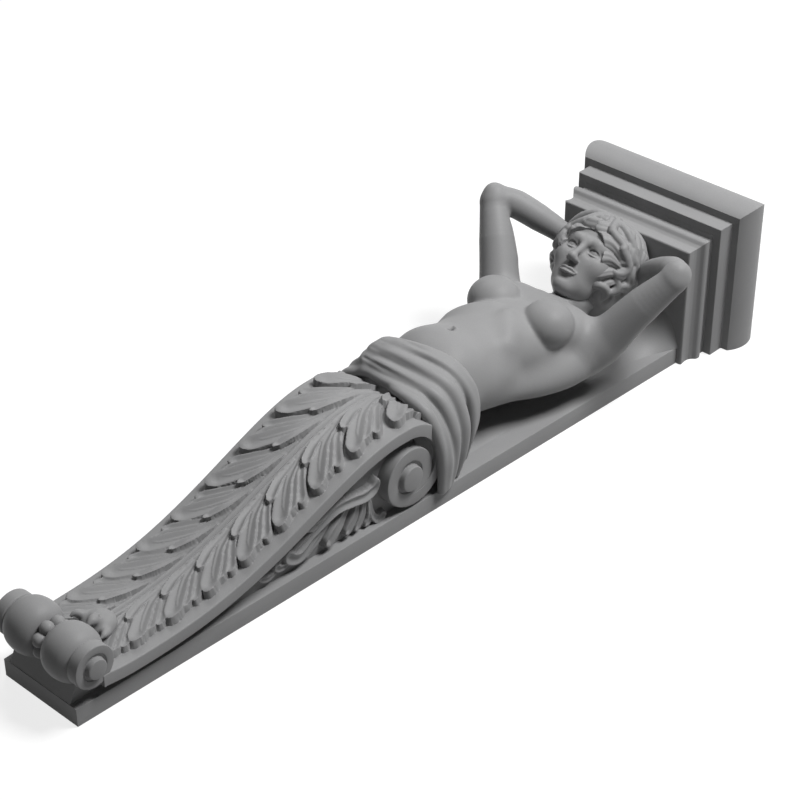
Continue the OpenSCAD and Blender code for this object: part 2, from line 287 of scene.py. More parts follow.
def capitalOutline():
    # (overhang, height above the soffit), from the soffit up
    steps = [(-40, 0), (0, 0), (2.3, 1.6), (1.2, 7), (0.5, 13), (1.0, 19), (4.0, 24), (8.5, 27.5),
             (9.6, 30.5), (9.6, 34.5), (8.0, 38.4), (4.0, 38.6), (4.0, 49.8), (17.4, 49.8), (17.4, 76.0),
             (26.8, 76.4)]
    arc = []
    for a in np.linspace(math.radians(-38), math.radians(34), 22):
        arc.append((-9.2 + 47.6 * math.cos(a), 106.0 + 47.6 * math.sin(a)))
    arc.append((27.6, topZ - block["soffitZ"]))
    return steps, arc


def makeCapital():
    steps, arc = capitalOutline()
    outline = rounded(steps, 1.4, 4)[:-1] + arc
    outline = rounded(outline[:-2], 0.1, 1) + outline[-2:]
    rings = []
    for p, h in outline:
        z = block["soffitZ"] + h
        w = block["capHalf"] + p
        d = block["capDepth"] + p + (block["slabOut"] if h > block["slabFrom"] else 0)
        rings.append([(-w, 0, z), (-w, -d, z), (w, -d, z), (w, 0, z)])
    pts = np.array(rings).reshape(-1, 3)
    faces = ringFaces(len(rings), 4).tolist()
    last = (len(rings) - 1) * 4
    faces += [[3, 2, 1, 0], [last, last + 1, last + 2, last + 3]]
    piece = addPiece("capital", pts, faces, sharpAngle=24)
    soften = piece.modifiers.new("softEdges", "BEVEL")
    soften.width = 0.0009
    soften.segments = 2
    soften.limit_method = "ANGLE"
    soften.angle_limit = math.radians(35)
    return piece


# Console: the scrolled band with its leaves.
console = {
    "footHalf": 74.2,
    "spread": 0.0218,        # growth of the half width for each mm of height
    "coreFoot": 53.5,
    "coreSpread": 0.0257,
    "bandThick": 17.0,
    "bandBevel": 1.8,
    "voluteY": -76.3,
    "voluteZ": 533.8,
    "voluteR": 41.1,
    "eyeR": 17.7,
    "eyeOut": 6.0,
    "leafStep": 55.0,        # from tip to tip at the foot
    "leafGrow": 1.2,         # and how the step grows upwards
    "leafStart": 59.0,
    "leafHigh": 10.5,
}


def consoleHalf(z):
    return console["footHalf"] + console["spread"] * z


def coreHalf(z):
    return console["coreFoot"] + console["coreSpread"] * z


def faceDepth(z):
    # distance of the band's face from the wall
    lowEnd = clamp01((90 - z) / 47)
    return 55.3 + 96 * ease(clamp01((z - 90) / 430) ** 1.35) + 4 * lowEnd ** 2


def scrollRadius(a):
    # a in degrees; 180 is the front and the scroll runs over the top to the back
    return 41.5 + 33.5 * ease((a + 40) / 225) ** 0.9


def bandCurve():
    low = [(-faceDepth(z), z) for z in np.arange(36, 526, 1.0)]
    scroll = []
    for a in np.arange(178, -60, -1.5):
        r = scrollRadius(a)
        scroll.append((console["voluteY"] + r * math.cos(math.radians(a)),
                       console["voluteZ"] + r * math.sin(math.radians(a))))
    curve, run = evenly(np.array(low + scroll), 1.15)
    smooth = curve.copy()
    for _ in range(12):
        smooth[1:-1] = 0.25 * smooth[:-2] + 0.5 * smooth[1:-1] + 0.25 * smooth[2:]
    return smooth, run


def lobe(height, ss, uu, path, half, high, tilt=0.0, root=0.35, wall=1.0):
    # one leaf lobe pressed into a height map; path runs from the tip to the root in (u, s)
    line, _ = evenly(spline(path, 60), 1.0)
    count = len(line)
    t = np.linspace(0, 1, count)
    body = np.minimum(1, (t / 0.13 + 0.03)) ** 0.42 * lerp(1.0, root, ease((t - 0.25) / 0.75))
    width = half * body
    lo = line.min(0) - half - 3
    hi = line.max(0) + half + 3
    iu = np.where((uu >= lo[0]) & (uu <= hi[0]))[0]
    js = np.where((ss >= lo[1]) & (ss <= hi[1]))[0]
    if len(iu) == 0 or len(js) == 0:
        return
    gridU, gridS = np.meshgrid(uu[iu], ss[js])
    best = np.full(gridU.shape, 1e9)
    side = np.zeros_like(best)
    along = np.zeros_like(best)
    tangent = np.gradient(line, axis=0)
    tangent /= np.linalg.norm(tangent, axis=1)[:, None]
    for k in range(count):
        du = gridU - line[k, 0]
        ds = gridS - line[k, 1]
        dist = np.hypot(du, ds) / max(width[k], 0.4)
        cross = (du * tangent[k, 1] - ds * tangent[k, 0])
        closer = dist < best
        best = np.where(closer, dist, best)
        side = np.where(closer, np.sign(cross) * np.minimum(np.abs(cross) / max(width[k], 0.4), 1), side)
        along = np.where(closer, t[k], along)
    inside = 1 - best
    widthHere = np.interp(along, t, width)
    ramp = ease(inside * widthHere / wall + 0.5)
    groove = 0.5 - 0.5 * np.cos(math.pi * (side + 1))
    dome = 1 - 0.55 * np.maximum(0, np.abs(side) - 0.72) ** 2 * 12
    fall = lerp(1.0, 0.62, ease((along - 0.3) / 0.7))
    depth = 0.3 * high * ease(along / 0.12) * lerp(1, 0.45, along)
    h = (high * fall - depth * groove + tilt * side - 0.9 * (1 - dome)) * ramp
    patch = height[np.ix_(js, iu)]
    height[np.ix_(js, iu)] = np.maximum(patch, np.where(best < 1.35, h, 0))


def leafRelief(ss, uu):
    height = np.zeros((len(ss), len(uu)))
    high = console["leafHigh"]
    for side in (1, -1):
        for k in range(-1, 9):
            s = console["leafStart"] + console["leafStep"] * k + console["leafGrow"] * k * k
            reach = lerp(62, 67, clamp01(k / 7))

            def press(path, half, rise, tilt=0.0, root=0.35):
                placed = [(side * u, s + v) for u, v in path]
                lobe(height, ss, uu, placed, half, high * rise, side * tilt, root)

            press([(46, 61), (38, 69), (27, 85), (9, 116)], 4.6, 0.6, 0.3)
            press([(reach - 1, 40), (54, 48), (40, 62), (24, 82), (8, 118)], 7.8, 0.84, 0.6)
            press([(reach - 6, 20), (52, 31), (38, 48), (21, 72), (8, 112)], 10.0, 0.92, 0.4, 0.3)
            press([(reach, 0), (53, 14), (38, 34), (21, 60), (7, 106)], 12.0, 1.04, 1.2)
            if k >= 0:
                # inner fold beside the rib
                press([(27, 20), (22, 33), (15, 52), (9, 84)], 6.8, 1.2, -1.2, 0.5)
        curlTip = [(side * 55, 30), (side * 42, 40), (side * 28, 62), (side * 10, 96)]
        lobe(height, ss, uu, curlTip, 8.0, high * 0.8, side * 0.5)
    gridU, gridS = np.meshgrid(uu, ss)
    rib = 7.4 * np.sqrt(np.clip(1 - ((np.abs(gridU) - 4.0) / 4.2) ** 2, 0, 1)) * (np.abs(gridU) < 8.2)
    middle = 4.2 * (np.abs(gridU) < 4.0)
    fade = ease((gridS - 14) / 20)
    height = np.maximum(height, np.maximum(rib, middle) * fade)
    return height * ease((ss[:, None] - 4) / 10)


def makeBand():
    curve, run = bandCurve()
    tangent = np.gradient(curve, axis=0)
    tangent /= np.linalg.norm(tangent, axis=1)[:, None]
    normal = np.stack([-tangent[:, 1], tangent[:, 0]], 1)
    flat = np.linspace(-1, 1, 141)
    widths = consoleHalf(curve[:, 1])
    uu = flat * 80.0
    height = leafRelief(run, uu)
    bevel = console["bandBevel"]
    inner = -console["bandThick"]
    rows = []
    for k in range(len(run)):
        w = widths[k]
        y, z = curve[k]
        ny, nz = normal[k]
        out = [(-w, inner), (-w, -bevel), (-w + 0.28 * bevel, -0.28 * bevel)]
        out += [(v * (w - bevel), h) for v, h in zip(flat, height[k])]
        out += [(w - 0.28 * bevel, -0.28 * bevel), (w, -bevel), (w, inner)]
        out = np.array(out)
        rows.append(np.stack([out[:, 0], y + ny * out[:, 1], z + nz * out[:, 1]], 1))
    count = len(rows[0])
    pts = np.vstack(rows)
    faces = ringFaces(len(rows), count).tolist()
    faces += [list(range(count))[::-1], [(len(rows) - 1) * count + j for j in range(count)]]
    return addPiece("leaf_band", pts, faces, sharpAngle=55)


def makeCore():
    # side panels: the body of the console between the band and the plate
    front = [(-faceDepth(z) + 4, z) for z in np.linspace(50, 526, 60)]
    top = []
    for a in np.arange(176, -1, -8):
        r = scrollRadius(a) - 4
        top.append((console["voluteY"] + r * math.cos(math.radians(a)),
                    console["voluteZ"] + r * math.sin(math.radians(a))))
    low = [(-20, 0.5), (-block["plateThick"], 0.5), (-62, 17)]
    outline = low + front + top + [(-20, console["voluteZ"])]
    pts, count = [], len(outline)
    for sign in (-1, 1):
        pts += [(sign * coreHalf(z), y, z) for y, z in outline]
    faces = [[j, (j + 1) % count, count + (j + 1) % count, count + j] for j in range(count)]
    faces += [list(range(count))[::-1], [count + j for j in range(count)]]
    return addPiece("side_panels", pts, faces, sharpAngle=25)


def makeVolutes():
    parts = []
    half = consoleHalf(console["voluteZ"])
    r, eye, out = console["voluteR"], console["eyeR"], console["eyeOut"]
    corners = [(r, half - 40), (r, half), (eye + 5.4, half), (eye + 4.6, half - 2.6), (eye + 0.6, half - 2.6),
               (eye, half + out), (6, half + out + 0.8), (0.01, half + out + 0.9)]
    for sign in (1, -1):
        p, f = lathe(rounded(corners, 1.6, 5))
        p[:, 0] *= sign
        p[:, 1] += console["voluteY"]
        p[:, 2] += console["voluteZ"]
        parts.append((p, f if sign < 0 else f[:, ::-1]))
    pts, faces = joined(parts)
    return addPiece("volute_eyes", pts, faces, sharpAngle=30)


# Bolster at the foot: two rolls with their drums, and a string of pearls.
bolster = {
    "y": -77.7,
    "z": 25.6,
    "drumR": 28.2,
    "drumOut": 74.4,
    "eyeR": 13.2,
    "eyeOut": 5.5,
    "pearlR": 9.2,
    "pearlRing": 19.5,
    "pearls": 7,
    "pearlFrom": 104,       # degrees
    "pearlStep": 47,
}


def makeBolster():
    roll = spline([(15, 7), (22, 8.5), (28.6, 13), (33.2, 20), (35.2, 28), (35.4, 37), (33.8, 46), (30.2, 53),
                   (26.8, 57)], 40)
    b = bolster
    drum = [(26.2, 57.6), (b["drumR"], 59), (b["drumR"], b["drumOut"]), (b["eyeR"] + 4.6, b["drumOut"]),
            (b["eyeR"] + 3.8, b["drumOut"] - 2.0), (b["eyeR"] + 0.5, b["drumOut"] - 2.0),
            (b["eyeR"], b["drumOut"] + b["eyeOut"]), (4, b["drumOut"] + b["eyeOut"] + 0.6),
            (0.01, b["drumOut"] + b["eyeOut"] + 0.7)]
    profile = [(14, 0)] + [tuple(q) for q in roll] + rounded(drum, 1.4, 4)
    parts = []
    for sign in (1, -1):
        p, f = lathe(profile, 112)
        p[:, 0] *= sign
        parts.append((p, f if sign < 0 else f[:, ::-1]))
    for k in range(b["pearls"]):
        a = math.radians(b["pearlFrom"] + b["pearlStep"] * k)
        p, f = lathe([(b["pearlR"] * math.sin(q) + 0.01, -b["pearlR"] * math.cos(q))
                      for q in np.linspace(0, math.pi, 20)], 28)
        p[:, 1] += b["pearlRing"] * math.cos(a)
        p[:, 2] += b["pearlRing"] * math.sin(a)
        parts.append((p, f[:, ::-1]))
    pts, faces = joined(parts)
    pts[:, 1] += b["y"]
    pts[:, 2] += b["z"]
    return addPiece("bolster", pts, faces, sharpAngle=32)


# Clay: solids pressed together on a fine grid, then skinned.
def newClay(low, high, step):
    axes = [np.arange(lo, hi + step, step) for lo, hi in zip(low, high)]
    return {"axes": axes, "step": step, "low": np.array(low, float),
            "field": np.full([len(a) for a in axes], 60.0, dtype=np.float32)}


def window(clay, low, high):
    # the part of the grid between two corners
    cut = []
    for axis, lo, hi in zip(clay["axes"], low, high):
        first, last = np.searchsorted(axis, [lo, hi])
        cut.append(slice(max(0, first - 1), min(len(axis), last + 1)))
    x, y, z = [axis[c] for axis, c in zip(clay["axes"], cut)]
    return tuple(cut), x[:, None, None], y[None, :, None], z[None, None, :]


def merge(clay, cut, dist, blend, carve=False):
    old = clay["field"][cut]
    if carve:
        old = -old
    if blend > 0:
        h = np.clip(0.5 + 0.5 * (old - dist) / blend, 0, 1)
        new = old * (1 - h) + dist * h - blend * h * (1 - h)
    else:
        new = np.minimum(old, dist)
    clay["field"][cut] = -new if carve else new


def ball(clay, at, radii, blend=0.0, carve=False):
    r = np.array(radii, float)
    a = np.array(at, float)
    pad = blend + 2 * clay["step"]
    cut, x, y, z = window(clay, a - r - pad, a + r + pad)
    p = [(x - a[0]) / r[0], (y - a[1]) / r[1], (z - a[2]) / r[2]]
    k0 = np.sqrt(p[0] ** 2 + p[1] ** 2 + p[2] ** 2)
    k1 = np.sqrt((p[0] / r[0]) ** 2 + (p[1] / r[1]) ** 2 + (p[2] / r[2]) ** 2)
    dist = k0 * (k0 - 1) / np.maximum(k1, 1e-4)
    dist = np.where(k0 < 0.05, -r.min(), dist)
    merge(clay, cut, dist.astype(np.float32), blend, carve)


def roll(clay, path, radii, blend=0.0, carve=False, spans=18):
    # a round stroke along a smooth path with a changing radius
    line = spline(path, spans + 1)
    rad = np.interp(np.linspace(0, 1, spans + 1), np.linspace(0, 1, len(radii)), radii)
    big = max(radii) + blend + 2 * clay["step"]
    whole, x, y, z = window(clay, line.min(0) - big, line.max(0) + big)
    shape = (x.shape[0], y.shape[1], z.shape[2])
    local = np.full(shape, 60.0, dtype=np.float32)
    ax, ay, az = x[:, 0, 0], y[0, :, 0], z[0, 0, :]
    for a, b, ra, rb in zip(line[:-1], line[1:], rad[:-1], rad[1:]):
        lo, hi = np.minimum(a, b) - big, np.maximum(a, b) + big
        part = []
        for axis, l, h in zip((ax, ay, az), lo, hi):
            first, last = np.searchsorted(axis, [l, h])
            part.append(slice(first, last))
        px = (ax[part[0]] - a[0])[:, None, None]
        py = (ay[part[1]] - a[1])[None, :, None]
        pz = (az[part[2]] - a[2])[None, None, :]
        d = b - a
        t = np.clip((px * d[0] + py * d[1] + pz * d[2]) / max(1e-6, d @ d), 0, 1)
        away = np.sqrt((px - t * d[0]) ** 2 + (py - t * d[1]) ** 2 + (pz - t * d[2]) ** 2)
        dist = away - (ra + (rb - ra) * t)
        part = tuple(part)
        local[part] = np.minimum(local[part], dist)
    merge(clay, whole, local, blend, carve)


def skinned(clay):
    grid = vdb.FloatGrid(60.0)
    grid.copyFromArray(clay["field"])
    grid.transform = vdb.createLinearTransform(voxelSize=clay["step"])
    points, quads = grid.convertToQuads(isovalue=0.0)
    points = np.asarray(points, float) + clay["low"]
    quads = np.asarray(quads, int)
    a, b, c = points[quads[:, 0]], points[quads[:, 1]], points[quads[:, 2]]
    if np.einsum("ij,ij->i", a, np.cross(b, c)).sum() < 0:
        quads = quads[:, ::-1]
    return points, quads


def mirrored(path, side):
    return [(side * x, y, z) for x, y, z in path]


# Figure: the trunk as (height, distance) pairs.
trunkWidth = [(560, 50), (600, 60), (635, 73), (675, 69), (705, 64), (730, 61.5), (760, 64), (800, 71),
              (850, 78), (890, 80), (915, 70), (935, 46), (955, 24)]
trunkFront = [(560, 110), (600, 130), (635, 165), (675, 181), (705, 179.5), (740, 175), (790, 172),
              (830, 165), (870, 152), (900, 136), (925, 120), (955, 110)]
trunkBack = [(560, 16), (600, 24), (640, 44), (675, 58), (705, 66), (735, 68), (770, 62), (800, 52),
             (835, 38), (870, 28), (910, 30), (955, 60)]
figureLook = {
    "grid": 2.3,
    "box": ((-190, -245, 560), (190, 0, 1074)),
    "trunkTop": 955.0,
    "trunkSquare": 2.25,    # 2 is an oval section, and more is squarer
}


def smoothed(table, z, wide=14.0):
    # values of a table at heights z, with its corners eased
    knots, values = zip(*table)
    fine = np.arange(z.min() - 60, z.max() + 60, 1.0)
    raw = np.interp(fine, knots, values)
    k = np.exp(-np.linspace(-2, 2, int(2 * wide) * 2 + 1) ** 2)
    soft = np.convolve(np.pad(raw, len(k) // 2, mode="edge"), k / k.sum(), mode="valid")
    return np.interp(z, fine, soft)


def squareOval(x, y, wide, deep, n):
    fill = ((np.abs(x) / wide) ** n + (np.abs(y) / deep) ** n) ** (1 / n)
    return (fill - 1) * np.minimum(wide, deep)


def makeTrunk(clay):
    cut, x, y, z = window(clay, (-100, -200, 560), (100, 0, 960))
    heights = z[0, 0, :]
    w = smoothed(trunkWidth, heights)[None, None, :]
    f = smoothed(trunkFront, heights)[None, None, :]
    b = smoothed(trunkBack, heights)[None, None, :]
    mid, deep = -(f + b) / 2, (f - b) / 2
    dist = squareOval(x, y - mid, w, deep, figureLook["trunkSquare"])
    dist = np.maximum(dist, z - figureLook["trunkTop"])
    merge(clay, cut, dist.astype(np.float32), 0)


def modelTrunk(clay):
    makeTrunk(clay)
    ball(clay, (0, -150, 672), (50, 34, 40), 26)        # lower belly
    for side in (1, -1):
        rib = [(14, -166, 800), (30, -162, 782), (47, -150, 762), (54, -124, 744)]
        roll(clay, mirrored(rib, side), [3, 6, 7, 4], 22)
        ball(clay, (side * 48, -112, 728), (22, 24, 34), 22)
        flank = [(82, -90, 892), (78, -80, 850), (68, -80, 800), (56, -86, 755), (44, -92, 705)]
        roll(clay, mirrored(flank, side), [25, 21, 17, 13, 8], 26)
        roll(clay, mirrored([(16, -126, 892), (46, -120, 896), (74, -104, 902)], side), [24, 26, 27], 22)
        ball(clay, (side * 48, -130, 872), (32, 23, 30), 18)
        ball(clay, (side * 47, -145, 846), (37, 33, 37), 3.5)
        roll(clay, mirrored([(7, -130, 920), (34, -124, 926), (62, -110, 928)], side), [4, 4.5, 4], 9)
        roll(clay, mirrored([(26, -112, 972), (16, -122, 945), (5, -130, 922)], side), [6, 6.5, 5], 9)
    middle = [(0, -184, 806), (0, -187, 780), (0, -189.5, 745), (0, -190, 722)]
    roll(clay, middle, [9, 9.5, 9, 8], 9, carve=True)
    roll(clay, [(0, -176, 880), (0, -182, 850), (0, -183, 820)], [6, 8, 6], 14, carve=True)
    roll(clay, [(0, -86, 905), (0, -98, 945), (0, -122, 985)], [31, 25, 26], 14)
    ball(clay, (0, -183, 704), (3.2, 7, 5.2), 3.5, carve=True)
    roll(clay, [(-4, -181, 711), (0, -182.4, 712.5), (4, -181, 711)], [1.2, 1.8, 1.2], 3)


def modelArms(clay):
    for side in (1, -1):
        upper = [(58, -84, 884), (82, -98, 902), (104, -126, 922), (130, -165, 946), (158, -203, 970)]
        roll(clay, mirrored(upper, side), [30, 29, 27, 24.5, 19], 16, spans=28)
        roll(clay, mirrored([(92, -116, 922), (112, -142, 942), (132, -170, 958)], side), [12, 17, 12], 14)
        roll(clay, mirrored([(78, -92, 912), (92, -104, 916), (104, -120, 926)], side), [24, 25, 18], 16)
        ball(clay, (side * 161, -211, 975), (16, 17, 16), 10)
        ball(clay, (side * 163, -221, 977), (9, 8, 9), 10)
        fore = [(159, -209, 982), (138, -198, 998), (110, -181, 1014), (76, -158, 1032), (46, -126, 1042)]
        roll(clay, mirrored(fore, side), [17, 20.5, 19.5, 15.5, 12], 7, spans=28)
        roll(clay, mirrored([(46, -126, 1042), (30, -108, 1042), (12, -98, 1038)], side), [12, 13, 11], 6)
        for k in range(4):
            finger = [(18, -100, 1050 - 7 * k), (2, -94, 1048 - 8 * k), (-12, -92, 1045 - 8 * k)]
            roll(clay, mirrored(finger, side), [5, 4.6, 4], 1.5)


def makeFigure():
    clay = newClay(*figureLook["box"], figureLook["grid"])
    modelTrunk(clay)
    modelArms(clay)
    pts, quads = skinned(clay)
    return addPiece("figure", pts, quads)


clothLook = {
    "grid": 1.5,
    "box": ((-112, -212, 556), (112, -10, 690)),
    "topZ": 672.0,
    "footZ": 558.0,
    "dip": 0.26,            # how much the upper edge dips to one side
    "square": 2.4,
    "back": 12.0,           # distance from the wall
    "foldSize": 1.1,
    "foldBlend": 5.5,
    "creaseWidths": [1.0, 3.0, 3.4, 3.0, 1.2],
    "creaseBlend": 3.5,
}


def makeCloth():
    look = clothLook
    clay = newClay(*look["box"], look["grid"])
    cut, x, y, z = window(clay, *look["box"])
    level = z + look["dip"] * (60 - x) * np.clip((-y - 60) / 120, 0, 1)
    heights = z[0, 0, :]
    w = np.interp(heights, [556, 590, 620, 668], [80, 82, 80, 72])[None, None, :]
    f = np.interp(heights, [556, 572, 588, 604, 625, 668], [138, 144, 154, 165, 174, 184])[None, None, :]
    mid, deep = -(f + look["back"]) / 2, (f - look["back"]) / 2
    dist = squareOval(x, y - mid, w, deep, look["square"])
    dist = np.maximum(dist, level - look["topZ"])
    dist = np.maximum(dist, look["footZ"] - z)
    merge(clay, cut, dist.astype(np.float32), 0)
    # rolled hem, broad folds gathered at one corner of the front, and a fold that falls behind the scroll
    folds = [
        ([(-58, -164, 630), (-42, -184, 628), (2, -189, 640), (28, -182, 651), (56, -167, 661),
          (78, -141, 667), (85, -98, 666), (74, -44, 660)], [5, 7.5, 5.5, 5, 5, 5.5, 5, 4], 2.5),
        ([(-46, -184, 620), (4, -188, 631), (32, -181, 642), (60, -164, 652), (82, -134, 658),
          (88, -90, 656), (80, -40, 650)], [6, 4.5, 4.5, 5, 5.5, 5, 4], 2.0),
        ([(-50, -178, 610), (-8, -180, 614), (34, -170, 624), (68, -152, 634), (89, -112, 636),
          (92, -70, 632), (86, -30, 626)], [8, 9, 9, 9, 9, 8, 6], 4),
        ([(-52, -168, 597), (-12, -170, 596), (32, -163, 602), (70, -149, 611), (93, -108, 614),
          (96, -64, 612), (92, -26, 608)], [8, 8.5, 8, 7.5, 8, 7, 6], 3),
        ([(-46, -160, 586), (-8, -161, 583), (30, -158, 586), (64, -151, 590), (90, -116, 595),
          (99, -72, 598), (96, -26, 598)], [5, 6, 6, 5, 6, 6.5, 5], 1.5),
        ([(16, -158, 579), (52, -158, 576), (80, -146, 578), (95, -112, 583), (99, -74, 587),
          (96, -24, 589)], [4, 7.5, 8, 7, 6, 5], 2),
        ([(-44, -182, 622), (-66, -160, 634), (-82, -118, 642), (-84, -60, 644), (-76, -24, 644)],
         [7, 6, 6, 6, 5], 2.5),
        ([(-48, -176, 610), (-70, -154, 614), (-88, -112, 620), (-90, -60, 622), (-84, -24, 622)],
         [8, 9, 9, 8, 6], 4),
        ([(-50, -166, 596), (-72, -148, 595), (-92, -106, 600), (-96, -60, 602), (-92, -24, 602)],
         [8, 8, 8, 7, 6], 3),
        ([(-46, -158, 585), (-74, -144, 580), (-94, -108, 584), (-99, -66, 588), (-96, -24, 590)],
         [5, 7, 7, 6, 5], 2),
    ]
    for path, radii, blend in folds:
        # drawn in a little, so that the folds lie half sunk in the body
        sunk = [(0.93 * px, -95 + 0.955 * (py + 95), pz) for px, py, pz in path]
        roll(clay, sunk, [look["foldSize"] * r for r in radii], blend + look["foldBlend"], spans=40)
    creases = [
        [(-40, -194, 632), (4, -193, 634), (34, -187, 644), (62, -172, 654), (84, -142, 661)],
        [(-44, -190, 616), (0, -191, 622), (36, -182, 632), (70, -163, 643), (94, -124, 646), (99, -76, 644)],
        [(-50, -184, 603), (-8, -184, 603), (34, -174, 611), (72, -158, 622), (98, -112, 625),
         (103, -66, 622)],
        [(-48, -172, 590), (-4, -172, 588), (34, -167, 593), (70, -157, 600), (99, -114, 604),
         (106, -68, 606)],
    ]
    for path in creases:
        roll(clay, path, look["creaseWidths"], look["creaseBlend"], carve=True, spans=40)
    pts, quads = skinned(clay)
    return addPiece("cloth", pts, quads)


# Head: made upright round its own centre, then bowed and placed.
headPlace = {
    "at": (-2.0, -151.0, 1003.0),
    "bow": 34.0,            # degrees
    "turn": 4.0,
    "size": 1.2,
    "grid": 0.75,
}


def bowed(points):
    turn = (Matrix.Rotation(math.radians(headPlace["bow"]), 3, "X")
            @ Matrix.Rotation(math.radians(headPlace["turn"]), 3, "Z"))
    return headPlace["size"] * points @ np.array(turn).T + np.array(headPlace["at"])


def makeHead():
    # plain classical face: eyes half way up, nose and mouth on the usual thirds
    clay = newClay((-46, -66, -66), (46, 58, 66), headPlace["grid"])
    ball(clay, (0, 6, 12), (38, 44, 43))
    ball(clay, (0, -14, -10), (31, 28, 44), 14)
    ball(clay, (0, -17, 22), (31, 22, 26), 14)
    ball(clay, (0, -14, -36), (23, 23, 19), 12)
    ball(clay, (0, -31, -49), (10, 8.5, 7.5), 11)
    for side in (1, -1):
        ball(clay, (side * 21, -26, -11), (12, 11, 12), 14)
        ball(clay, (side * 15.5, -44.5, 1.0), (9.2, 5.8, 5.8), 9, carve=True)
        ball(clay, (side * 14.8, -31.4, 0), (8.8, 8.6, 7.6), 0.8)
        upper = [(7.0, -37.6, -1.0), (11, -40.4, 2.8), (15.5, -41.0, 4.0), (20, -38.9, 2.8),
                 (23.8, -34.8, -0.6)]
        lower = [(7.4, -37.2, -1.6), (11.5, -39.6, -3.8), (15.5, -40.0, -4.4), (20, -37.8, -3.4),
                 (23.2, -34.6, -1.0)]
        lidFold = [(8, -40.2, 6.4), (15, -41.2, 7.8), (23.5, -35.6, 5.4)]
        brow = [(5.5, -40.6, 9.5), (15, -41.0, 12.6), (26, -32.8, 9.8)]
        roll(clay, mirrored(upper, side), [0.7, 1.1, 1.2, 1.1, 0.8], 0.8)
        roll(clay, mirrored(lower, side), [0.6, 0.9, 1.0, 0.9, 0.6], 1.2)
        roll(clay, mirrored(lidFold, side), [1.6, 2.2, 1.6], 4)
        roll(clay, mirrored(brow, side), [2.0, 2.2, 1.6], 8)
        ball(clay, (side * 4.9, -45.8, -19.6), (3.3, 4.4, 3.0), 2.4)
        ball(clay, (side * 2.8, -48.6, -23.0), (1.2, 2.0, 1.2), 0.8, carve=True)
    roll(clay, [(0, -40, 9), (0, -44.6, -3), (0, -50.4, -16.5)], [3.3, 3.2, 3.6], 7)
    ball(clay, (0, -50.4, -17.8), (4.1, 4.2, 3.9), 3)
    upperLip = [(-11, -39.8, -31.6), (-4.6, -43.9, -30.4), (0, -44.6, -30.9), (4.6, -43.9, -30.4),
                (11, -39.8, -31.6)]
    lowerLip = [(-9.5, -40, -33.8), (-4, -43.2, -35.2), (0, -43.8, -35.5), (4, -43.2, -35.2),
                (9.5, -40, -33.8)]
    mouth = [(-11.4, -41.0, -31.8), (-5, -45.6, -32.6), (0, -46.4, -33.0), (5, -45.6, -32.6),
             (11.4, -41.0, -31.8)]
    roll(clay, upperLip, [0.8, 2.0, 1.9, 2.0, 0.8], 2.2)
    roll(clay, lowerLip, [0.9, 2.3, 2.5, 2.3, 0.9], 2.2)
    roll(clay, mouth, [0.6, 0.7, 0.7, 0.7, 0.6], 0.9, carve=True)
    ball(clay, (0, -43.8, -41.2), (8, 2.8, 2.6), 5, carve=True)
    roll(clay, [(0, -45.6, -24.0), (0, -46.2, -27.4)], [0.9, 1.0], 1.6, carve=True)
    pts, quads = skinned(clay)
    return addPiece("head", bowed(pts), quads)


def capPoint(az, el, out):
    # a point over the scalp: az 0 is the front, el 90 the crown
    a, e = math.radians(az), math.radians(el)
    half, deep = hairLook["scalp"]
    x = out * half * math.sin(a) * math.cos(e)
    y = 8 - out * deep * math.cos(a) * math.cos(e)
    z = 10 + out * deep * math.sin(e)
    return x, y, z


hairLook = {
    "grid": 1.0,
    "box": ((-70, -58, -66), (70, 76, 76)),
    "scalp": (42, 46),      # half width and half depth
    "locks": 15,            # wavy locks round the head from the parting
    "waves": 5.2,
    "wave": 0.75,
    "lift": 7.0,
    "fine": 0.9,
    "rows": 9,              # loose locks over the cap on each side
    "lockThick": 5.4,
    "curls": 22,            # curls on each side, over the ears and the nape
    "curlThick": 4.8,
    "strands": 2,
}


